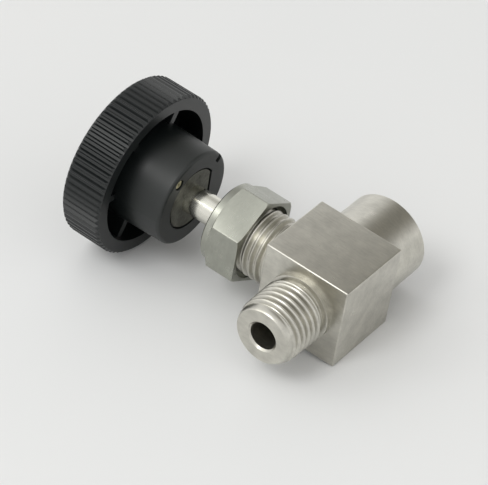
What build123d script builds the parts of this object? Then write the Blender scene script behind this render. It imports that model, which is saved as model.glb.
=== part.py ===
from build123d import *
import os
from math import cos, pi, radians, sin

os.makedirs("parts", exist_ok=True)

# Needle valve for a quarter-inch line. The origin is the middle of the block's back flat. The
# stem turns on the X axis, and the liquid runs parallel to Y, through the middle of the block.

# Body block, cut from square bar
BAR = 19.0                     # across the flats, along X and along Z
BLOCK_LENGTH = 17.4            # along the flow
EDGE_BREAK = 0.3
HALF_BAR = BAR / 2
HALF_LENGTH = BLOCK_LENGTH / 2
FLOW_X = HALF_BAR              # the flow axis, in front of the back flat
BITE = 1.0                     # how deep a boss starts inside the block

# Quarter-inch pipe thread, 18 to the inch
PIPE_PITCH = 25.4 / 18
PIPE_DEPTH = 0.72 * PIPE_PITCH
PIPE_RIDGES = 7

# Male port, along +Y
MALE_CREST = 6.80
MALE_COLLAR = 7.0
MALE_COLLAR_LENGTH = 0.8
MALE_THREAD_START = HALF_LENGTH + MALE_COLLAR_LENGTH
MALE_LEAD = 0.2                # plain length after the last ridge
MALE_LEAD_RADIUS = 6.45
MALE_END = 20.4
MALE_END_RADIUS = 5.75
MALE_BORE = 2.9
MALE_BORE_FLOOR = 6.0
MALE_BORE_CHAMFER = 0.4

# Female port, along -Y
FEMALE_HUB = 8.9               # outer radius
FEMALE_END = 19.7
FEMALE_CREST = 5.70
FEMALE_LEAD = 0.1
FEMALE_FLOOR = 8.6
FEMALE_DRILL = 5.5
FEMALE_MOUTH = 7.0

# Bonnet neck, along +X, with the packing nut's thread outside
NECK_PITCH = 1.5
NECK_CREST = 7.0
NECK_DEPTH = 0.61 * NECK_PITCH
NECK_RIDGES = 5
NECK_COLLAR = 7.15
NECK_COLLAR_END = BAR + 0.9
NECK_END = 28.1

# Clearances, on the radius
RUNNING = 0.05                 # between threads, and in every close running fit
LOOSE = 0.1                    # stem through the washer and the gland follower
OPEN = 0.2                     # stem through the packing nut

# Bores along the stem axis
SUMP_FLOOR = 5.1
ORIFICE = 1.7
SEAT = 10.6
SEAT_MOUTH = 2.1
CHAMBER_FLOOR = 11.0
CHAMBER = 4.2
CHAMBER_END = 14.9
STEM_NUT = 4.0                 # the body's thread for the stem, at its crests
PACKING_FLOOR = 21.9
PACKING_BOX = 4.7

# Drillings between the ports and the bores
INLET_DRILL = 1.6
INLET_START = (10.0, 8.5)      # x, y
INLET_END = (6.7, 0.0)
OUTLET_DRILL = 1.9
OUTLET_DRILL_X = 12.95
OUTLET_DRILL_START = 9.1
OUTLET_DRILL_LENGTH = 8.6

# Stem and needle
STEM = 3.0
STEM_PITCH = 1.0
STEM_CREST = STEM_NUT - RUNNING
STEM_THREAD_DEPTH = 0.55
STEM_RIDGES = 5
STEM_FOOT = 12.7
STEM_THREAD_START = 12.9
STEM_END = 55.5
STEM_CHAMFER = 0.4
NEEDLE_POINT = 7.2
NEEDLE_POINT_RADIUS = 0.4
NEEDLE_SHOULDER = 12.4
NEEDLE_RADIUS = 2.2
SWIVEL_NECK = 1.1
SWIVEL_BUTTON = 1.5
BUTTON_START = 14.4
BUTTON_END = 15.3

# Packing, gland follower and packing nut
WASHER_THICK = 0.8
PACKING_RING_THICK = 1.3
PACKING_RINGS = 3
GLAND_FOOT = PACKING_FLOOR + WASHER_THICK + PACKING_RINGS * PACKING_RING_THICK
GLAND_SLEEVE = PACKING_BOX - RUNNING
GLAND_FLANGE = 6.4
GLAND_FLANGE_START = 28.9
GLAND_FLANGE_END = 30.5
NUT_FLATS = 17.0
NUT_CORNER = NUT_FLATS / 2 / cos(pi / 6)
NUT_START = 25.3
NUT_HEX_END = 32.3
NUT_END = 33.9
NUT_COLLAR = 8.3
NUT_COLLAR_CHAMFER = 0.25
NUT_ANGLE = 31.0               # a corner's angle about X, from +Y
NUT_CONE = 0.8                 # length of the turned cone on the hexagon's outer end
NUT_BACK_CONE = 0.3
NUT_BACK_CORNER = 9.36
NUT_MOUTH = 7.9
NUT_MOUTH_DEPTH = 1.6
NUT_HOLE = STEM + OPEN

# Handwheel
WHEEL_RADIUS = 17.6            # over the ribs
RIB_COUNT = 72
RIB_HEIGHT = 0.5
RIB_FOOT = 1.55                # width, half a millimetre under the rim surface
RIB_FLANK = 59                 # degrees
RIM_BACK = 51.7
RIM_FRONT = 60.8
RIM_ROUND = 0.5
RECESS_RADIUS = 14.6
RECESS_FLOOR = 57.9
WEB_COUNT = 6
WEB_ANGLE = 0.0
WEB_THICK = 1.5
WEB_BACK = 53.4
WEB_BITE = 0.5                 # how far a web runs into the rim
HUB = 10.3                     # radius at its end, with a moulder's draft from the recess floor
HUB_ROOT = 10.7
HUB_END = 42.5
HUB_ROUND = 0.7
NOTCH_ANGLE = 139.5
NOTCH_LENGTH = 3.4
NOTCH_WIDTH = 1.3
FRONT_DISH = 13.0
FRONT_DISH_FLOOR = 11.5
FRONT_DISH_DEPTH = 0.9

# Metal insert moulded into the hub: a face with one flat, a bush, and a buried flange
INSERT_FACE = 6.4
INSERT_FLAT = 5.05             # the flat's distance from the axis, on the -Y side
INSERT_START = HUB_END + 0.15
INSERT_FACE_END = 44.5
INSERT_BUSH = 4.6
INSERT_FLANGE = 9.65
INSERT_FLANGE_START = 46.1
INSERT_FLANGE_END = 47.7
INSERT_END = 55.9
JOINT_WIDTH = 0.4              # the open joint around the insert's face
JOINT_DEPTH = 0.9

# Screw that locks the plastic hub to the insert's flange
LOCK_SCREW = 0.9
LOCK_HOLE = LOCK_SCREW + RUNNING
LOCK_COUNTERBORE = 1.15
LOCK_CENTRE = 8.25             # its distance from the axis
LOCK_ANGLE = 52.5
LOCK_SCREW_START = 42.8
LOCK_SOCKET = 0.35
LOCK_SOCKET_DEPTH = 0.5


def ridges(start, count, pitch, crest, root):
    """Points (along, radius) of V ridges with flat tops, each an eighth of the pitch wide."""
    flat = pitch / 8
    flank = (pitch - 2 * flat) / 2
    points = []
    for i in range(count):
        foot = start + i * pitch + flat / 2
        points += [(foot, root), (foot + flank, crest)]
        points += [(foot + flank + flat, crest), (foot + 2 * flank + flat, root)]
    return points


def around_stem(points):
    """A profile of (x, radius) points, closed along the stem axis."""
    return [(points[0][0], 0)] + points + [(points[-1][0], 0)]


def around_flow(points):
    """A profile of (y, radius) points, closed along the flow axis."""
    return [(FLOW_X + radius, along) for along, radius in around_stem(points)]


def flatted_disc(radius, flat):
    """A disc with one flat on its -Y side, drawn in the sketch at hand."""
    Circle(radius)
    with Locations((-flat - radius, 0)):
        Rectangle(2 * radius, 2 * radius, mode=Mode.SUBTRACT)


# One forging with both ports, the seat and the bonnet neck
flow_axis = Axis((FLOW_X, 0, 0), (0, 1, 0))
flow_plane = Plane(origin=(FLOW_X, 0, 0), x_dir=(1, 0, 0), z_dir=(0, 1, 0))

male_profile = [(HALF_LENGTH - BITE, MALE_COLLAR), (MALE_THREAD_START, MALE_COLLAR)]
male_profile += ridges(MALE_THREAD_START, PIPE_RIDGES, PIPE_PITCH, MALE_CREST, MALE_CREST - PIPE_DEPTH)
male_lead_end = MALE_THREAD_START + PIPE_RIDGES * PIPE_PITCH + MALE_LEAD
male_profile += [(male_lead_end, MALE_LEAD_RADIUS), (MALE_END, MALE_END_RADIUS)]

female_profile = [(-FEMALE_END - BITE, FEMALE_MOUTH), (-FEMALE_END, FEMALE_MOUTH)]
female_profile += ridges(-FEMALE_END + FEMALE_LEAD, PIPE_RIDGES, PIPE_PITCH,
                         FEMALE_CREST, FEMALE_CREST + PIPE_DEPTH)
female_profile += [(-FEMALE_FLOOR, FEMALE_DRILL)]

neck_profile = [(BAR - BITE, NECK_COLLAR), (NECK_COLLAR_END, NECK_COLLAR)]
neck_profile += ridges(NECK_COLLAR_END, NECK_RIDGES, NECK_PITCH, NECK_CREST, NECK_CREST - NECK_DEPTH)
neck_profile += [(NECK_END, NECK_CREST - NECK_DEPTH)]

stem_bores = [(SUMP_FLOOR, ORIFICE), (SEAT, ORIFICE), (CHAMBER_FLOOR, SEAT_MOUTH),
              (CHAMBER_FLOOR, CHAMBER), (CHAMBER_END, CHAMBER), (CHAMBER_END, STEM_NUT),
              (PACKING_FLOOR, STEM_NUT), (PACKING_FLOOR, PACKING_BOX), (NECK_END, PACKING_BOX)]

inlet_start = Vector(*INLET_START, 0)
inlet_run = Vector(*INLET_END, 0) - inlet_start

with BuildPart() as valve_body:
    with BuildSketch(Plane.XY.offset(-HALF_BAR)):
        with Locations((FLOW_X, 0)):
            Rectangle(BAR, BLOCK_LENGTH)
    extrude(amount=BAR)
    fillet(valve_body.edges(), EDGE_BREAK)
    with BuildSketch(Plane.XY):
        with BuildLine():
            Polyline(around_flow(male_profile), close=True)
        make_face()
    revolve(axis=flow_axis)
    with BuildSketch(flow_plane.offset(BITE - HALF_LENGTH)):
        Circle(FEMALE_HUB)
    extrude(amount=HALF_LENGTH - BITE - FEMALE_END)
    chamfer(valve_body.faces().sort_by(Axis.Y)[0].edges(), EDGE_BREAK)
    with BuildSketch(Plane.XY):
        with BuildLine():
            Polyline(around_stem(neck_profile), close=True)
        make_face()
    revolve(axis=Axis.X)
    with BuildSketch(Plane.XY):
        with BuildLine():
            Polyline(around_flow(female_profile), close=True)
        make_face()
    revolve(axis=flow_axis, mode=Mode.SUBTRACT)
    with BuildSketch(Plane.XY):
        with BuildLine():
            Polyline(around_stem(stem_bores), close=True)
        make_face()
    revolve(axis=Axis.X, mode=Mode.SUBTRACT)
    with BuildSketch(flow_plane.offset(MALE_END)):
        Circle(MALE_BORE)
    extrude(amount=MALE_BORE_FLOOR - MALE_END, mode=Mode.SUBTRACT)
    male_mouth = valve_body.faces().sort_by(Axis.Y)[-1].edges().sort_by(SortBy.RADIUS)[0]
    chamfer(male_mouth, MALE_BORE_CHAMFER)
    with BuildSketch(Plane(origin=inlet_start, z_dir=inlet_run)):
        Circle(INLET_DRILL)
    extrude(amount=inlet_run.length, mode=Mode.SUBTRACT)
    with BuildSketch(flow_plane.offset(-OUTLET_DRILL_START)):
        with Locations((OUTLET_DRILL_X - FLOW_X, 0)):
            Circle(OUTLET_DRILL)
    extrude(amount=OUTLET_DRILL_LENGTH, mode=Mode.SUBTRACT)

valve_body.part.label = "valve_body"
export_step(valve_body.part, "parts/valve_body.step")

# Needle with a swivelling neck, so that it doesn't turn on the seat
needle_profile = [(NEEDLE_POINT, NEEDLE_POINT_RADIUS), (NEEDLE_SHOULDER, NEEDLE_RADIUS),
                  (STEM_FOOT - RUNNING, NEEDLE_RADIUS), (STEM_FOOT - RUNNING, SWIVEL_NECK),
                  (BUTTON_START, SWIVEL_NECK), (BUTTON_START, SWIVEL_BUTTON),
                  (BUTTON_END, SWIVEL_BUTTON)]
with BuildPart() as needle_tip:
    with BuildSketch(Plane.XY):
        with BuildLine():
            Polyline(around_stem(needle_profile), close=True)
        make_face()
    revolve(axis=Axis.X)

needle_tip.part.label = "needle_tip"
export_step(needle_tip.part, "parts/needle_tip.step")

# Stem: socket for the needle, thread, and polished shank
stem_profile = [(STEM_FOOT, STEM_CREST - STEM_THREAD_DEPTH)]
stem_profile += ridges(STEM_THREAD_START, STEM_RIDGES, STEM_PITCH, STEM_CREST, STEM_CREST - STEM_THREAD_DEPTH)
stem_profile += [(STEM_THREAD_START + STEM_RIDGES * STEM_PITCH, STEM), (STEM_END - STEM_CHAMFER, STEM),
                 (STEM_END, STEM - STEM_CHAMFER)]
socket_profile = [(STEM_FOOT, SWIVEL_NECK + RUNNING), (BUTTON_START - RUNNING, SWIVEL_NECK + RUNNING),
                  (BUTTON_START - RUNNING, SWIVEL_BUTTON + RUNNING),
                  (BUTTON_END + RUNNING, SWIVEL_BUTTON + RUNNING)]
with BuildPart() as stem:
    with BuildSketch(Plane.XY):
        with BuildLine():
            Polyline(around_stem(stem_profile), close=True)
        make_face()
    revolve(axis=Axis.X)
    with BuildSketch(Plane.XY):
        with BuildLine():
            Polyline(around_stem(socket_profile), close=True)
        make_face()
    revolve(axis=Axis.X, mode=Mode.SUBTRACT)

stem.part.label = "stem"
export_step(stem.part, "parts/stem.step")

# Packing: a steel washer on the floor of the box, and the rings above it
with BuildPart() as packing_washer:
    with BuildSketch(Plane.YZ.offset(PACKING_FLOOR)):
        Circle(PACKING_BOX)
        Circle(STEM + LOOSE, mode=Mode.SUBTRACT)
    extrude(amount=WASHER_THICK)

packing_washer.part.label = "packing_washer"
export_step(packing_washer.part, "parts/packing_washer.step")

for number in range(PACKING_RINGS):
    ring_start = PACKING_FLOOR + WASHER_THICK + number * PACKING_RING_THICK
    with BuildPart() as packing_ring:
        with BuildSketch(Plane.YZ.offset(ring_start)):
            Circle(PACKING_BOX)
            Circle(STEM + RUNNING, mode=Mode.SUBTRACT)
        extrude(amount=PACKING_RING_THICK)
    packing_ring.part.label = f"packing_ring_{number + 1}"
    export_step(packing_ring.part, f"parts/packing_ring_{number + 1}.step")

with BuildPart() as gland_follower:
    with BuildSketch(Plane.YZ.offset(GLAND_FOOT)):
        Circle(GLAND_SLEEVE)
    extrude(amount=GLAND_FLANGE_START - GLAND_FOOT)
    with BuildSketch(Plane.YZ.offset(GLAND_FLANGE_START)):
        Circle(GLAND_FLANGE)
    extrude(amount=GLAND_FLANGE_END - GLAND_FLANGE_START)
    with BuildSketch(Plane.YZ.offset(GLAND_FOOT)):
        Circle(STEM + LOOSE)
    extrude(amount=GLAND_FLANGE_END - GLAND_FOOT, mode=Mode.SUBTRACT)

gland_follower.part.label = "gland_follower"
export_step(gland_follower.part, "parts/gland_follower.step")

# Packing nut: the hexagon's ends are turned to cones, and a round collar tops it
nut_envelope = [(NUT_START, NUT_BACK_CORNER), (NUT_START + NUT_BACK_CONE, NUT_CORNER + RUNNING),
                (NUT_HEX_END - NUT_CONE, NUT_CORNER + RUNNING), (NUT_HEX_END, NUT_FLATS / 2),
                (NUT_HEX_END, NUT_COLLAR), (NUT_END - NUT_COLLAR_CHAMFER, NUT_COLLAR),
                (NUT_END, NUT_COLLAR - NUT_COLLAR_CHAMFER)]
nut_bores = [(NUT_START, NUT_MOUTH), (NUT_START + NUT_MOUTH_DEPTH, NUT_MOUTH),
             (NUT_START + NUT_MOUTH_DEPTH, NECK_CREST + RUNNING),
             (GLAND_FLANGE_END, NECK_CREST + RUNNING), (GLAND_FLANGE_END, NUT_HOLE),
             (NUT_END, NUT_HOLE)]

with BuildPart() as packing_nut:
    with BuildSketch(Plane.YZ.offset(NUT_START)):
        RegularPolygon(NUT_CORNER, 6, rotation=NUT_ANGLE)
    extrude(amount=NUT_END - NUT_START)
    with BuildSketch(Plane.XY):
        with BuildLine():
            Polyline(around_stem(nut_envelope), close=True)
        make_face()
    revolve(axis=Axis.X, mode=Mode.INTERSECT)
    with BuildSketch(Plane.XY):
        with BuildLine():
            Polyline(around_stem(nut_bores), close=True)
        make_face()
    revolve(axis=Axis.X, mode=Mode.SUBTRACT)

packing_nut.part.label = "packing_nut"
export_step(packing_nut.part, "parts/packing_nut.step")

# Moulded handwheel: ribbed rim, web disc dished in front, six webs and a long hub
rim_envelope = [(RIM_BACK, WHEEL_RADIUS - RIM_ROUND), (RIM_BACK + RIM_ROUND, WHEEL_RADIUS),
                (RIM_FRONT - RIM_ROUND, WHEEL_RADIUS), (RIM_FRONT, WHEEL_RADIUS - RIM_ROUND),
                (RIM_FRONT, FRONT_DISH), (RIM_FRONT - FRONT_DISH_DEPTH, FRONT_DISH_FLOOR)]
hub_profile = [(HUB_END, HUB), (RECESS_FLOOR, HUB_ROOT)]
insert_core = [(INSERT_FACE_END, INSERT_BUSH), (INSERT_FLANGE_START, INSERT_BUSH),
               (INSERT_FLANGE_START, INSERT_FLANGE), (INSERT_FLANGE_END, INSERT_FLANGE),
               (INSERT_FLANGE_END, INSERT_BUSH), (INSERT_END, INSERT_BUSH)]
lock_place = (LOCK_CENTRE * cos(radians(LOCK_ANGLE)), LOCK_CENTRE * sin(radians(LOCK_ANGLE)))

with BuildPart() as handwheel:
    with BuildSketch(Plane.YZ.offset(RIM_BACK)):
        Circle(WHEEL_RADIUS - RIB_HEIGHT)
        with PolarLocations(WHEEL_RADIUS - RIB_HEIGHT, RIB_COUNT):
            Trapezoid(RIB_FOOT, 2 * RIB_HEIGHT, RIB_FLANK, rotation=-90)
    extrude(amount=RIM_FRONT - RIM_BACK)
    with BuildSketch(Plane.XY):
        with BuildLine():
            Polyline(around_stem(rim_envelope), close=True)
        make_face()
    revolve(axis=Axis.X, mode=Mode.INTERSECT)
    with BuildSketch(Plane.YZ.offset(RIM_BACK)):
        Circle(RECESS_RADIUS)
    extrude(amount=RECESS_FLOOR - RIM_BACK, mode=Mode.SUBTRACT)
    with BuildSketch(Plane.YZ.offset(WEB_BACK)):
        with PolarLocations(RECESS_RADIUS / 2, WEB_COUNT, start_angle=WEB_ANGLE):
            Rectangle(RECESS_RADIUS + 2 * WEB_BITE, WEB_THICK)
    extrude(amount=RECESS_FLOOR - WEB_BACK)
    with BuildSketch(Plane.XY):
        with BuildLine():
            Polyline(around_stem(hub_profile), close=True)
        make_face()
    revolve(axis=Axis.X)
    fillet(handwheel.faces().sort_by(Axis.X)[0].edges(), HUB_ROUND)
    with BuildSketch(Plane.YZ.offset(HUB_END)):
        flatted_disc(INSERT_FACE + JOINT_WIDTH, INSERT_FLAT + JOINT_WIDTH)
        with PolarLocations(HUB, 1, start_angle=NOTCH_ANGLE):
            Rectangle(NOTCH_LENGTH, NOTCH_WIDTH)
    extrude(amount=JOINT_DEPTH, mode=Mode.SUBTRACT)
    with BuildSketch(Plane.YZ.offset(HUB_END)):
        flatted_disc(INSERT_FACE, INSERT_FLAT)
    extrude(amount=INSERT_FACE_END - HUB_END, mode=Mode.SUBTRACT)
    with BuildSketch(Plane.XY):
        with BuildLine():
            Polyline(around_stem(insert_core), close=True)
        make_face()
    revolve(axis=Axis.X, mode=Mode.SUBTRACT)
    with BuildSketch(Plane.YZ.offset(HUB_END)):
        with Locations(lock_place):
            Circle(LOCK_COUNTERBORE)
    extrude(amount=INSERT_FLANGE_START - HUB_END, mode=Mode.SUBTRACT)

handwheel.part.label = "handwheel"
export_step(handwheel.part, "parts/handwheel.step")

# The insert is bored for the stem, and its flange is drilled for the locking screw
with BuildPart() as hub_insert:
    with BuildSketch(Plane.YZ.offset(INSERT_START)):
        flatted_disc(INSERT_FACE, INSERT_FLAT)
    extrude(amount=INSERT_FACE_END - INSERT_START)
    with BuildSketch(Plane.XY):
        with BuildLine():
            Polyline(around_stem(insert_core), close=True)
        make_face()
    revolve(axis=Axis.X)
    with BuildSketch(Plane.YZ.offset(INSERT_START)):
        Circle(STEM)
    extrude(amount=INSERT_END - INSERT_START, mode=Mode.SUBTRACT)
    with BuildSketch(Plane.YZ.offset(INSERT_FLANGE_START)):
        with Locations(lock_place):
            Circle(LOCK_HOLE)
    extrude(amount=INSERT_FLANGE_END - INSERT_FLANGE_START, mode=Mode.SUBTRACT)

hub_insert.part.label = "hub_insert"
export_step(hub_insert.part, "parts/hub_insert.step")

with BuildPart() as lock_screw:
    with BuildSketch(Plane.YZ.offset(LOCK_SCREW_START)):
        with Locations(lock_place):
            Circle(LOCK_SCREW)
    extrude(amount=INSERT_FLANGE_END - LOCK_SCREW_START)
    with BuildSketch(Plane.YZ.offset(LOCK_SCREW_START)):
        with Locations(lock_place):
            RegularPolygon(LOCK_SOCKET, 6)
    extrude(amount=LOCK_SOCKET_DEPTH, mode=Mode.SUBTRACT)

lock_screw.part.label = "lock_screw"
export_step(lock_screw.part, "parts/lock_screw.step")
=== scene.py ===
import math

import bmesh
import bpy
from mathutils import Matrix, Vector


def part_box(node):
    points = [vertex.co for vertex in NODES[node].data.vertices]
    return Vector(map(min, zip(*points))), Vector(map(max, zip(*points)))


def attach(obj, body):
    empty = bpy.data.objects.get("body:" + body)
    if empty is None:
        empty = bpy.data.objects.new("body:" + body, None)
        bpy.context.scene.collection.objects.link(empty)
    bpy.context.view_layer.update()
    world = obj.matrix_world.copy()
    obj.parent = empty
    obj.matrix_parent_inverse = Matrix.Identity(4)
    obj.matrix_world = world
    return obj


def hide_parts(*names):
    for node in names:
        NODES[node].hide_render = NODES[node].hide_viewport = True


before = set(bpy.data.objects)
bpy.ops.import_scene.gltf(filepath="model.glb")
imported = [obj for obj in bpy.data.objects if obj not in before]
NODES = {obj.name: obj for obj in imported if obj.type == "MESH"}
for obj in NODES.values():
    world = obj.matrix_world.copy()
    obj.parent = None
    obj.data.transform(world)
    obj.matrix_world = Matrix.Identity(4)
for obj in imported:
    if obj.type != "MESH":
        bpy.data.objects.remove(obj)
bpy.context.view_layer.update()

MM = 0.001

# ---------------------------------------------------------------- camera

CAMERA_AZIMUTH = 211.28
CAMERA_ELEVATION = 42.24
CAMERA_ROLL = 10.0
CAMERA_DISTANCE = 0.4959
CAMERA_SIDE = -0.01573         # the aim point, to the side of the block's middle
CAMERA_RISE = 0.00773          # and above it
CAMERA_LENS = 193.4            # millimetres, on a 36 mm sensor


def block_middle():
    """Where the stem axis crosses the flow axis: as far from the back flat as the block's top is high."""
    low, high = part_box("valve_body")
    return Vector((low.x + high.z, 0, 0))


def direction(azimuth, elevation):
    """Unit vector from the object towards a viewer at that azimuth and elevation, in degrees."""
    a, e = math.radians(azimuth), math.radians(elevation)
    return Vector((math.sin(a) * math.cos(e), -math.cos(a) * math.cos(e), math.sin(e)))


def make_camera():
    back = direction(CAMERA_AZIMUTH, CAMERA_ELEVATION)
    level = Vector((0, 0, 1)).cross(back).normalized()
    rise = back.cross(level)
    roll = math.radians(CAMERA_ROLL)
    right = math.cos(roll) * level + math.sin(roll) * rise
    up = math.cos(roll) * rise - math.sin(roll) * level
    data = bpy.data.cameras.new("camera")
    data.sensor_width = 36
    data.lens = CAMERA_LENS
    data.clip_start, data.clip_end = 0.01, 10
    camera = bpy.data.objects.new("camera", data)
    place = block_middle() + CAMERA_DISTANCE * back + CAMERA_SIDE * right + CAMERA_RISE * up
    camera.matrix_world = Matrix.Translation(place) @ Matrix((right, up, back)).transposed().to_4x4()
    bpy.context.collection.objects.link(camera)
    bpy.context.scene.camera = camera


# ---------------------------------------------------------------- threads

COLUMNS = 96                   # points round each turn
MERGE = 0.008 * MM             # points nearer than this are one
WELD = 0.0015 * MM
SHARP = math.radians(28)       # edges that turn more than this are drawn sharp
LOOP_SLACK = 0.01              # millimetres, for telling which points lie on a circle
RUN_OUT = 0.9                  # pitches over which a thread fades into a plain circle

# The body's finishes, in the order of its material slots; the last is a painted shade for the inside of
# the male bore
BLOCK, FACED, MACHINED, THREAD, NECK_THREAD, SHADED_BORE = range(6)
PORT_FACE = 0.91               # the block's half length, over its half height
COLLAR_ROOT = 0.2              # millimetres past the port face where the port's collar starts
# Faces within BORE_EDGE of the flow axis and past BORE_START get a near-black painted shade for the shade
# deep in the bore.
BORE_EDGE = 3.2
BORE_START = 5.0


def shade(mesh, rounded=()):
    """Smooth faces with sharp edges between them, except where both faces have a rounded finish."""
    for face in mesh.faces:
        face.smooth = True
    for edge in mesh.edges:
        soft = all(face.material_index in rounded for face in edge.link_faces)
        edge.smooth = soft or edge.calc_face_angle(0) < SHARP


class Turned:
    """Directions and distances about one axis: along it, out from it, and round it."""

    def __init__(self, origin, axis, zero):
        self.origin, self.axis, self.zero = origin, axis, zero
        self.side = axis.cross(zero)

    def point(self, along, radius, angle):
        out = math.cos(angle) * self.zero + math.sin(angle) * self.side
        return self.origin + along * MM * self.axis + radius * MM * out

    def measure(self, point):
        """(along, radius, angle) of a point, in millimetres and radians."""
        offset = point - self.origin
        across, up = offset.dot(self.zero), offset.dot(self.side)
        angle = math.atan2(up, across) % (2 * math.pi)
        return offset.dot(self.axis) / MM, math.hypot(across, up) / MM, angle


def smooth(value):
    value = min(1.0, max(0.0, value))
    return value * value * (3 - 2 * value)


class Thread:
    """A right-hand thread between two plain circles. Lengths are millimetres along its axis.

    crest and root are radii half way along. start and end are (along, radius) of the circles that
    the thread runs out to, and start_slope and end_slope are how fast its crests rise from them.
    before and after are the plain circles that join it to the rest of the body.
    """

    def __init__(self, turned, pitch, crest, root, start, end, slopes, before, after, taper=0.0,
                 finish=THREAD):
        self.turned, self.pitch, self.crest, self.root = turned, pitch, crest, root
        self.start, self.end, self.slopes = start, end, slopes
        self.before, self.after, self.taper, self.finish = before, after, taper, finish
        self.outward = 1 if crest > root else -1

    def profile(self, phase):
        """Share of the thread's height, 0 at the root and 1 at the crest, at a phase from 0 to 1."""
        flat, flank = 0.125, 0.375
        if phase < flat / 2 or phase > 1 - flat / 2:
            return 0.0
        if phase < flat / 2 + flank:
            return (phase - flat / 2) / flank
        if phase < flat / 2 + flank + flat:
            return 1.0
        return (1 - flat / 2 - phase) / flank

    def radius(self, along, share):
        middle = (self.start[0] + self.end[0]) / 2
        lean = (middle - along) * self.taper
        radius = self.root + lean + share * (self.crest - self.root)
        for (place, limit), slope in ((self.start, self.slopes[0]), (self.end, self.slopes[1])):
            distance = abs(along - place)
            if slope > 0:
                room = limit + self.outward * distance * slope
                radius = self.outward * min(self.outward * radius, self.outward * room)
            fade = 1 - smooth(distance / (RUN_OUT * self.pitch))
            radius += fade * (limit - radius)
        return radius

    def rows(self):
        """Rows of (along, radius), one pair for each column, from the start circle to the end circle."""
        phases = (0.0, 0.0625, 0.18, 0.31, 0.4375, 0.5, 0.5625, 0.69, 0.82, 0.9375)
        first = math.floor(self.start[0] / self.pitch) - 2
        last = math.ceil(self.end[0] / self.pitch) + 2
        made = []
        for turn in range(first, last):
            for phase in phases:
                row = []
                for column in range(COLUMNS + 1):
                    along = (turn + phase + column / COLUMNS) * self.pitch
                    if along <= self.start[0]:
                        row.append(self.start)
                    elif along >= self.end[0]:
                        row.append(self.end)
                    else:
                        row.append((along, self.radius(along, self.profile(phase))))
                made.append(row)
        return made


def body_threads():
    """The three threads of the valve body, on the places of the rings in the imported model."""
    middle = block_middle()
    flow = Turned(middle, Vector((0, 1, 0)), Vector((0, 0, 1)))
    stem = Turned(Vector((0, 0, 0)), Vector((1, 0, 0)), Vector((0, 1, 0)))
    low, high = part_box("valve_body")
    male_end, female_end, neck_end = high.y / MM, low.y / MM, high.x / MM
    pipe, neck = 25.4 / 18, 1.5
    male = Thread(flow, pipe, 6.80, 5.80, (male_end - 10.62, 5.86), (male_end - 0.95, 6.28), (0.9, 0.55),
                  [(male_end - 10.86, 6.93), (male_end - 10.78, 5.92)],
                  [(male_end - 0.30, 5.99), (male_end - 0.10, 5.87)], taper=1 / 32)
    female = Thread(flow, pipe, 5.70, 6.70, (female_end + 0.12, 6.86), (female_end + 10.8, 5.55),
                    (0.9, 0), [(female_end + 0.04, 6.95)], [(female_end + 11.05, 5.5)], taper=1 / 32)
    bonnet = Thread(stem, neck, 7.0, 6.1, (neck_end - 7.98, 6.14), (neck_end - 0.6, 6.5), (0.9, 0.6),
                    [(neck_end - 8.16, 7.08), (neck_end - 8.08, 6.2)], [(neck_end - 0.06, 6.15)],
                    finish=NECK_THREAD)
    zones = [(male, (male_end - 10.9, male_end), (5.6, 7.01)),
             (female, (female_end, female_end + 11.1), (5.45, 7.01)),
             (bonnet, (neck_end - 8.2, neck_end), (5.9, 7.16))]
    return zones


def clear_zone(mesh, thread, recess_shade_span, radii):
    """Takes out the faces between two circles, and gives the two loops of points they leave."""
    slack = LOOP_SLACK
    doomed = []
    for face in mesh.faces:
        places = [thread.turned.measure(v.co) for v in face.verts]
        inside = all(recess_shade_span[0] - slack < p[0] < recess_shade_span[1] + slack for p in places)
        inside = inside and all(radii[0] < p[1] < radii[1] + slack for p in places)
        flat = max(p[0] for p in places) - min(p[0] for p in places) < slack
        if inside and not (flat and min(abs(places[0][0] - s) for s in recess_shade_span) < slack):
            doomed.append(face)
    bmesh.ops.delete(mesh, geom=doomed, context="FACES")
    loops = []
    for place in recess_shade_span:
        rim = {v for e in mesh.edges if len(e.link_faces) == 1 for v in e.verts
               if abs(thread.turned.measure(v.co)[0] - place) < slack
               and radii[0] < thread.turned.measure(v.co)[1] < radii[1] + slack}
        loops.append(sorted(rim, key=lambda v: thread.turned.measure(v.co)[2]))
    return loops


def zip_loops(mesh, turned, first, second):
    """Triangles between two loops of points about one axis, each sorted by angle."""
    angles = [[turned.measure(v.co)[2] for v in loop] for loop in (first, second)]
    places = [0, 0]
    while places[0] < len(first) or places[1] < len(second):
        ahead = []
        for which, loop in enumerate((first, second)):
            turn, at = divmod(places[which] + 1, len(loop))
            ahead.append(angles[which][at] + turn * 2 * math.pi)
        step = 0 if places[1] >= len(second) or (places[0] < len(first) and ahead[0] <= ahead[1]) else 1
        loop, other = (first, second) if step == 0 else (second, first)
        corner = loop[places[step] % len(loop)]
        following = loop[(places[step] + 1) % len(loop)]
        facing = other[places[1 - step] % len(other)]
        mesh.faces.new((corner, following, facing))
        places[step] += 1


def plain_ring(mesh, turned, along, radius):
    return [mesh.verts.new(turned.point(along, radius, 2 * math.pi * c / COLUMNS)) for c in range(COLUMNS)]


def quads(mesh, first, second):
    for c in range(COLUMNS):
        following = (c + 1) % COLUMNS
        mesh.faces.new((first[c], first[following], second[following], second[c]))


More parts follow.
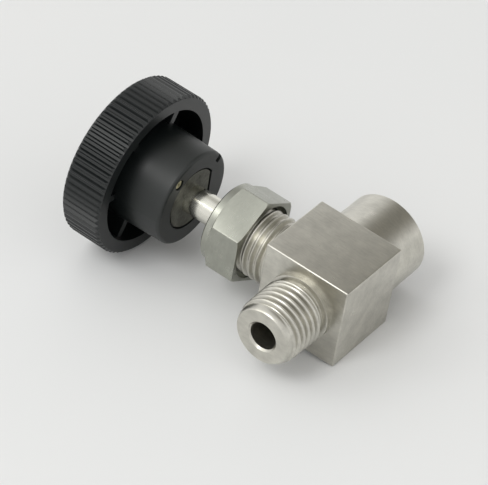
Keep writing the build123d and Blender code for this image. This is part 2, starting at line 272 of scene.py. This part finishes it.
def add_thread(mesh, thread, loops):
    turned = thread.turned
    before = [plain_ring(mesh, turned, *circle) for circle in thread.before + [thread.start]]
    after = [plain_ring(mesh, turned, *circle) for circle in [thread.end] + thread.after]
    zip_loops(mesh, turned, loops[0], before[0])
    for first, second in list(zip(before, before[1:])) + list(zip(after, after[1:])):
        quads(mesh, first, second)
    zip_loops(mesh, turned, after[-1], loops[1])
    helix = []
    for row in thread.rows():
        angles = [2 * math.pi * c / COLUMNS for c in range(COLUMNS + 1)]
        helix.append([mesh.verts.new(turned.point(*place, angle)) for place, angle in zip(row, angles)])
    for first, second in zip(helix, helix[1:]):
        for c in range(COLUMNS):
            face = mesh.faces.new((first[c], first[c + 1], second[c + 1], second[c]))
            face.material_index = thread.finish
    made = [v for row in helix for v in row] + before[-1] + after[0]
    bmesh.ops.remove_doubles(mesh, verts=made, dist=MERGE)


def body_finish(place, half):
    """Which finish a face of the body has. place is its middle, in millimetres from the block's middle."""
    port = PORT_FACE * half
    # Painted shade: the faces inside the bore are drawn near-black.
    if math.hypot(place.x, place.z) < BORE_EDGE and place.y > BORE_START:
        return SHADED_BORE
    if place.y > port + COLLAR_ROOT or place.y < -port:
        return MACHINED
    if place.x > half:
        return NECK_THREAD
    if place.y > port:
        return FACED
    return BLOCK


def make_body():
    """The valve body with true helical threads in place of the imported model's rings."""
    source = NODES["valve_body"]
    mesh = bmesh.new()
    mesh.from_mesh(source.data)
    bmesh.ops.remove_doubles(mesh, verts=mesh.verts, dist=WELD)
    middle = block_middle()
    for face in mesh.faces:
        face.material_index = body_finish((face.calc_center_median() - middle) / MM, middle.x / MM)
    for thread, recess_shade_span, radii in body_threads():
        add_thread(mesh, thread, clear_zone(mesh, thread, recess_shade_span, radii))
    bmesh.ops.recalc_face_normals(mesh, faces=mesh.faces)
    data = bpy.data.meshes.new("threaded_valve_body")
    shade(mesh, rounded=(THREAD, NECK_THREAD))
    mesh.to_mesh(data)
    mesh.free()
    body = bpy.data.objects.new("threaded_valve_body", data)
    bpy.context.collection.objects.link(body)
    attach(body, "valve")
    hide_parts("valve_body")
    return body


# ---------------------------------------------------------------- packing nut

FLAT_FINISH, COLLAR_FINISH = 0, 1
NUT_BEVEL = 0.16 * MM
NUT_COLLAR = 1.75 * MM         # from the nut's outer end back past its collar
NUT_CORNER = 0.93              # of the nut's height: only the hexagon's corners reach further out
NUT_EDGE = 3 * MM              # the long edges are longer than this
ALONG = 0.999                  # share of an edge's length that is along the stem
FLATNESS = math.radians(0.5)   # faces within this of each other are one flat


def make_nut():
    """The packing nut, with its hexagon's six long edges rounded off."""
    mesh = bmesh.new()
    mesh.from_mesh(NODES["packing_nut"].data)
    bmesh.ops.remove_doubles(mesh, verts=mesh.verts, dist=WELD)
    bmesh.ops.dissolve_limit(mesh, angle_limit=FLATNESS, verts=mesh.verts, edges=mesh.edges)
    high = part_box("packing_nut")[1]
    collar_start = high.x - NUT_COLLAR
    for face in mesh.faces:
        face.material_index = COLLAR_FINISH if face.calc_center_median().x > collar_start else FLAT_FINISH
    corner = high.z * NUT_CORNER
    long_edges = []
    for edge in mesh.edges:
        run = edge.verts[1].co - edge.verts[0].co
        out = math.hypot(edge.verts[0].co.y, edge.verts[0].co.z)
        if run.length > NUT_EDGE and abs(run.x) > ALONG * run.length and out > corner:
            long_edges.append(edge)
    bmesh.ops.bevel(mesh, geom=long_edges, offset=NUT_BEVEL, segments=3, profile=0.5, affect="EDGES",
                    clamp_overlap=True)
    shade(mesh)
    data = bpy.data.meshes.new("bevelled_packing_nut")
    mesh.to_mesh(data)
    mesh.free()
    nut = bpy.data.objects.new("bevelled_packing_nut", data)
    bpy.context.collection.objects.link(nut)
    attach(nut, "nut")
    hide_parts("packing_nut")
    return nut


# ---------------------------------------------------------------- materials


class Graph:
    """A material's node tree, with short calls for the few kinds of node used here."""

    def __init__(self, name):
        self.material = bpy.data.materials.new(name)
        self.material.use_nodes = True
        self.tree = self.material.node_tree
        self.shader = self.tree.nodes["Principled BSDF"]
        self.place = self.node("ShaderNodeTexCoord").outputs["Object"]

    def node(self, kind, **values):
        made = self.tree.nodes.new(kind)
        for key, value in values.items():
            setattr(made, key, value)
        return made

    def link(self, source, target):
        self.tree.links.new(source, target)

    def set(self, **values):
        for key, value in values.items():
            self.shader.inputs[key.replace("_", " ")].default_value = value

    def mapped(self, scale, turn=(0, 0, 0)):
        node = self.node("ShaderNodeMapping")
        node.inputs["Rotation"].default_value = turn
        node.inputs["Scale"].default_value = scale
        self.link(self.place, node.inputs["Vector"])
        return node.outputs["Vector"]

    def noise(self, scale=(1, 1, 1), detail=2.0, roughness=0.5):
        node = self.node("ShaderNodeTexNoise")
        node.inputs["Scale"].default_value = 1.0
        node.inputs["Detail"].default_value = detail
        node.inputs["Roughness"].default_value = roughness
        self.link(self.mapped(scale), node.inputs["Vector"])
        return node.outputs["Fac"]

    def ramp(self, value, stops):
        node = self.node("ShaderNodeValToRGB")
        band = node.color_ramp
        while len(band.elements) < len(stops):
            band.elements.new(0.5)
        for element, (at, colour) in zip(band.elements, stops):
            element.position = at
            element.color = (*colour, 1) if isinstance(colour, tuple) else (colour, colour, colour, 1)
        self.link(value, node.inputs["Fac"])
        return node.outputs["Color"]

    def maths(self, operation, first, second):
        node = self.node("ShaderNodeMath", operation=operation)
        for socket, value in zip(node.inputs, (first, second)):
            if isinstance(value, (int, float)):
                socket.default_value = value
            else:
                self.link(value, socket)
        return node.outputs["Value"]

    def bump(self, height, strength, distance):
        node = self.node("ShaderNodeBump")
        node.inputs["Strength"].default_value = strength
        node.inputs["Distance"].default_value = distance
        self.link(height, node.inputs["Height"])
        self.link(node.outputs["Normal"], self.shader.inputs["Normal"])


def steel(name, tint, rough, grain, blotch=0.06, bump=0.25):
    """Stainless steel. grain is the noise's scale per metre along X, Y and Z: low along the tool marks."""
    g = Graph(name)
    g.set(Metallic=1.0)
    marks = g.noise(grain, detail=3, roughness=0.6)
    patches = g.noise((300, 300, 300), detail=4, roughness=0.6)
    mixed = g.maths("ADD", g.maths("MULTIPLY", marks, 0.35), g.maths("MULTIPLY", patches, 0.65))
    dark = tuple(c * (1 - blotch * 3) for c in tint)
    light = tuple(min(1, c * (1 + blotch * 3)) for c in tint)
    g.link(g.ramp(mixed, [(0.25, dark), (0.75, light)]), g.shader.inputs["Base Color"])
    g.link(g.ramp(mixed, [(0.2, rough * 1.3), (0.8, rough * 0.75)]), g.shader.inputs["Roughness"])
    g.bump(marks, bump, 0.00002)
    return g.material


def black_plastic(name):
    """Moulded plastic: painted shade darkens it from the hub's end back into the recess and over the rest
    of the wheel, and it is paler, with random smears, at the hub's end.
    """
    g = Graph(name)
    low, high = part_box("handwheel")
    speckle = g.noise((2600, 2600, 2600), detail=2)
    smears = g.noise((420, 160, 160), detail=3)
    apart = g.node("ShaderNodeSeparateXYZ")
    g.link(g.place, apart.inputs["Vector"])
    # Painted shade: 1 at the hub's end, falling to 0 from 9.5 mm in, where the recess lies.
    recess_shade_span = g.node("ShaderNodeMapRange")
    recess_shade_span.interpolation_type = "SMOOTHSTEP"
    recess_shade_span.inputs["From Min"].default_value = low.x + 9.5 * MM
    recess_shade_span.inputs["From Max"].default_value = low.x + 3.0 * MM
    g.link(apart.outputs["X"], recess_shade_span.inputs["Value"])
    recess_shade_and_smears = g.maths("MULTIPLY", recess_shade_span.outputs["Result"], g.maths("ADD", smears, 0.35))
    # The dark colour is painted shade for the recess; the paler one is the plastic's tone at the open end,
    # with random smears on it.
    recess_shade_colour, open_end_colour = (0.0052, 0.0070, 0.0071), (0.0125, 0.0150, 0.0140)
    g.link(g.ramp(recess_shade_and_smears, [(0.0, recess_shade_colour), (0.95, open_end_colour)]), g.shader.inputs["Base Color"])
    g.link(g.ramp(recess_shade_and_smears, [(0.0, 0.34), (0.95, 0.47)]), g.shader.inputs["Roughness"])
    g.bump(speckle, 0.12, 0.00003)
    return g.material


def white_packing(name):
    g = Graph(name)
    cloud = g.noise((900, 900, 900), detail=2)
    shades = g.ramp(cloud, [(0.3, (0.78, 0.78, 0.75)), (0.7, (0.87, 0.87, 0.85))])
    g.link(shades, g.shader.inputs["Base Color"])
    g.set(Roughness=0.55, Subsurface_Weight=0.1)
    g.bump(cloud, 0.1, 0.00003)
    return g.material


def floor_material():
    g = Graph("floor")
    cloud = g.noise((9, 9, 9), detail=2)
    shades = g.ramp(cloud, [(0.3, (0.755, 0.76, 0.76)), (0.7, (0.77, 0.772, 0.77))])
    g.link(shades, g.shader.inputs["Base Color"])
    g.set(Roughness=0.8, Specular_IOR_Level=0.05)
    return g.material


TURNED_X = (9000, 300, 300)
TURNED_Y = (300, 9000, 300)
GROUND = (500, 3200, 1400)


def dress(piece, *materials):
    piece.data.materials.clear()
    for material in materials:
        piece.data.materials.append(material)


def dress_body(body):
    """The body's finishes, in the order of BLOCK, FACED, MACHINED, THREAD, NECK_THREAD and the bore's
    near-black painted shade.
    """
    dress(body,
          steel("block_steel", (0.56, 0.545, 0.49), 0.31, GROUND, blotch=0.08),
          steel("faced_steel", (0.39, 0.37, 0.33), 0.30, TURNED_Y, blotch=0.08),
          steel("machined_steel", (0.72, 0.71, 0.67), 0.20, TURNED_Y, blotch=0.04),
          steel("thread_steel", (0.76, 0.74, 0.68), 0.18, TURNED_Y, blotch=0.05, bump=0.15),
          steel("neck_steel", (0.74, 0.70, 0.55), 0.20, TURNED_X, blotch=0.06, bump=0.15),
          # Painted shade: near-black steel standing in for the shade deep in the bore.
          steel("bore_painted_shade", (0.075, 0.07, 0.06), 0.35, TURNED_Y))


def dress_nut(nut):
    """The nut's dull hexagon and its bright turned collar."""
    dress(nut,
          steel("nut_steel", (0.37, 0.375, 0.33), 0.28, (1800, 700, 700)),
          steel("nut_collar_steel", (0.84, 0.83, 0.76), 0.24, TURNED_X, blotch=0.02, bump=0.12))


def dress_nodes():
    plain = steel("node_steel", (0.55, 0.54, 0.50), 0.3, (900, 900, 900))
    finishes = {
        "valve_body": plain,
        "packing_nut": plain,
        "gland_follower": steel("gland_steel", (0.58, 0.57, 0.54), 0.3, TURNED_X),
        "packing_washer": steel("washer_steel", (0.6, 0.59, 0.57), 0.3, (900, 900, 900)),
        "stem": steel("stem_steel", (0.72, 0.71, 0.64), 0.16, TURNED_X, blotch=0.03, bump=0.12),
        "needle_tip": steel("needle_steel", (0.62, 0.6, 0.57), 0.2, TURNED_X, blotch=0.03),
        "hub_insert": steel("insert_metal", (0.13, 0.13, 0.11), 0.5, (1500, 1500, 1500), blotch=0.2),
        "lock_screw": steel("screw_brass", (0.62, 0.58, 0.40), 0.45, (900, 900, 900)),
        "handwheel": black_plastic("wheel_plastic"),
    }
    packing = white_packing("packing_ptfe")
    for name, node in NODES.items():
        dress(node, finishes.get(name, packing))


# ---------------------------------------------------------------- floor and light


FLOOR_HALF = 1.6               # half the floor's width
FLOOR_GAP = 0.00002
RIM_DEPTH = 8.6 * MM           # from the wheel's front back to the edge of the rim that it lies on
LIGHT_AIM = Vector((0.03, 0, 0))
MIX_FACTOR, MIX_FIRST, MIX_SECOND, MIX_COLOUR = 0, 6, 7, 2    # a colour mix node's sockets


def floor_frame():
    """The plane that the block's lower back edge and the wheel's rim both rest on."""
    block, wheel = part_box("valve_body")[0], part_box("handwheel")
    block_edge = Vector((block.x, 0, -block_middle().x))
    rim_edge = Vector((wheel[1].x - RIM_DEPTH, 0, wheel[0].z))
    run = (rim_edge - block_edge).normalized()
    across = Vector((0, 1, 0))
    return block_edge, run, across, run.cross(across)


def make_floor():
    origin, run, across, up = floor_frame()
    signs = ((-1, -1), (1, -1), (1, 1), (-1, 1))
    corners = [origin + FLOOR_HALF * (x * run + y * across) for x, y in signs]
    mesh = bpy.data.meshes.new("floor")
    mesh.from_pydata([c - FLOOR_GAP * up for c in corners], [], [(0, 1, 2, 3)])
    mesh.materials.append(floor_material())
    floor = bpy.data.objects.new("floor", mesh)
    bpy.context.collection.objects.link(floor)


def area_light(name, toward, distance, size, power, colour=(1, 1, 1)):
    data = bpy.data.lights.new(name, "AREA")
    data.shape = "DISK"
    data.size = size
    data.energy = power
    data.color = colour
    light = bpy.data.objects.new(name, data)
    light.location = LIGHT_AIM + distance * toward.normalized()
    light.rotation_mode = "QUATERNION"
    light.rotation_quaternion = toward.to_track_quat("Z", "Y")
    bpy.context.collection.objects.link(light)


class Sky:
    """The studio's walls and ceiling: an even grey with soft brighter and darker regions."""

    def __init__(self, base):
        world = bpy.data.worlds.new("studio")
        world.use_nodes = True
        self.tree = world.node_tree
        place = self.tree.nodes.new("ShaderNodeTexCoord")
        self.place = self.tree.nodes.new("ShaderNodeVectorMath")
        self.place.operation = "NORMALIZE"
        self.tree.links.new(place.outputs["Generated"], self.place.inputs[0])
        self.colour = self.tree.nodes.new("ShaderNodeRGB")
        self.colour.outputs[0].default_value = (*base, 1)
        self.output = self.colour.outputs[0]
        bpy.context.scene.world = world

    def region(self, toward, inner, outer, colour):
        """Blends to colour within inner degrees of a direction, and not at all beyond outer degrees."""
        dot = self.tree.nodes.new("ShaderNodeVectorMath")
        dot.operation = "DOT_PRODUCT"
        dot.inputs[1].default_value = Vector(toward).normalized()
        self.tree.links.new(self.place.outputs[0], dot.inputs[0])
        spread = self.tree.nodes.new("ShaderNodeMapRange")
        spread.interpolation_type = "SMOOTHSTEP"
        spread.inputs["From Min"].default_value = math.cos(math.radians(outer))
        spread.inputs["From Max"].default_value = math.cos(math.radians(inner))
        self.tree.links.new(dot.outputs["Value"], spread.inputs["Value"])
        mix = self.tree.nodes.new("ShaderNodeMix")
        mix.data_type = "RGBA"
        mix.inputs[MIX_SECOND].default_value = (*colour, 1)
        self.tree.links.new(spread.outputs["Result"], mix.inputs[MIX_FACTOR])
        self.tree.links.new(self.output, mix.inputs[MIX_FIRST])
        self.output = mix.outputs[MIX_COLOUR]

    def finish(self):
        self.tree.links.new(self.output, self.tree.nodes["Background"].inputs["Color"])


LEFT_LAMP = Vector((0.18, 0.59, 0.78))
RIGHT_LAMP = Vector((0.71, 0.42, 0.55))
LAMP_HALO = (0.38, 0.50, 0.76)
DARK_CORNER = (-0.15, -0.63, 0.76)


def make_light():
    area_light("left", LEFT_LAMP, 0.9, 0.36, 1.9)
    sky = Sky((0.98, 0.98, 0.975))
    sky.region(DARK_CORNER, 6, 47, (0.24, 0.23, 0.20))
    sky.region(LAMP_HALO, 8, 30, (1.15, 1.16, 1.13))
    sky.region(RIGHT_LAMP, 6, 16, (2.4, 2.4, 2.3))
    sky.finish()


bpy.context.scene.view_settings.view_transform = "Standard"
make_camera()
dress_nodes()
dress_body(make_body())
dress_nut(make_nut())
make_floor()
make_light()
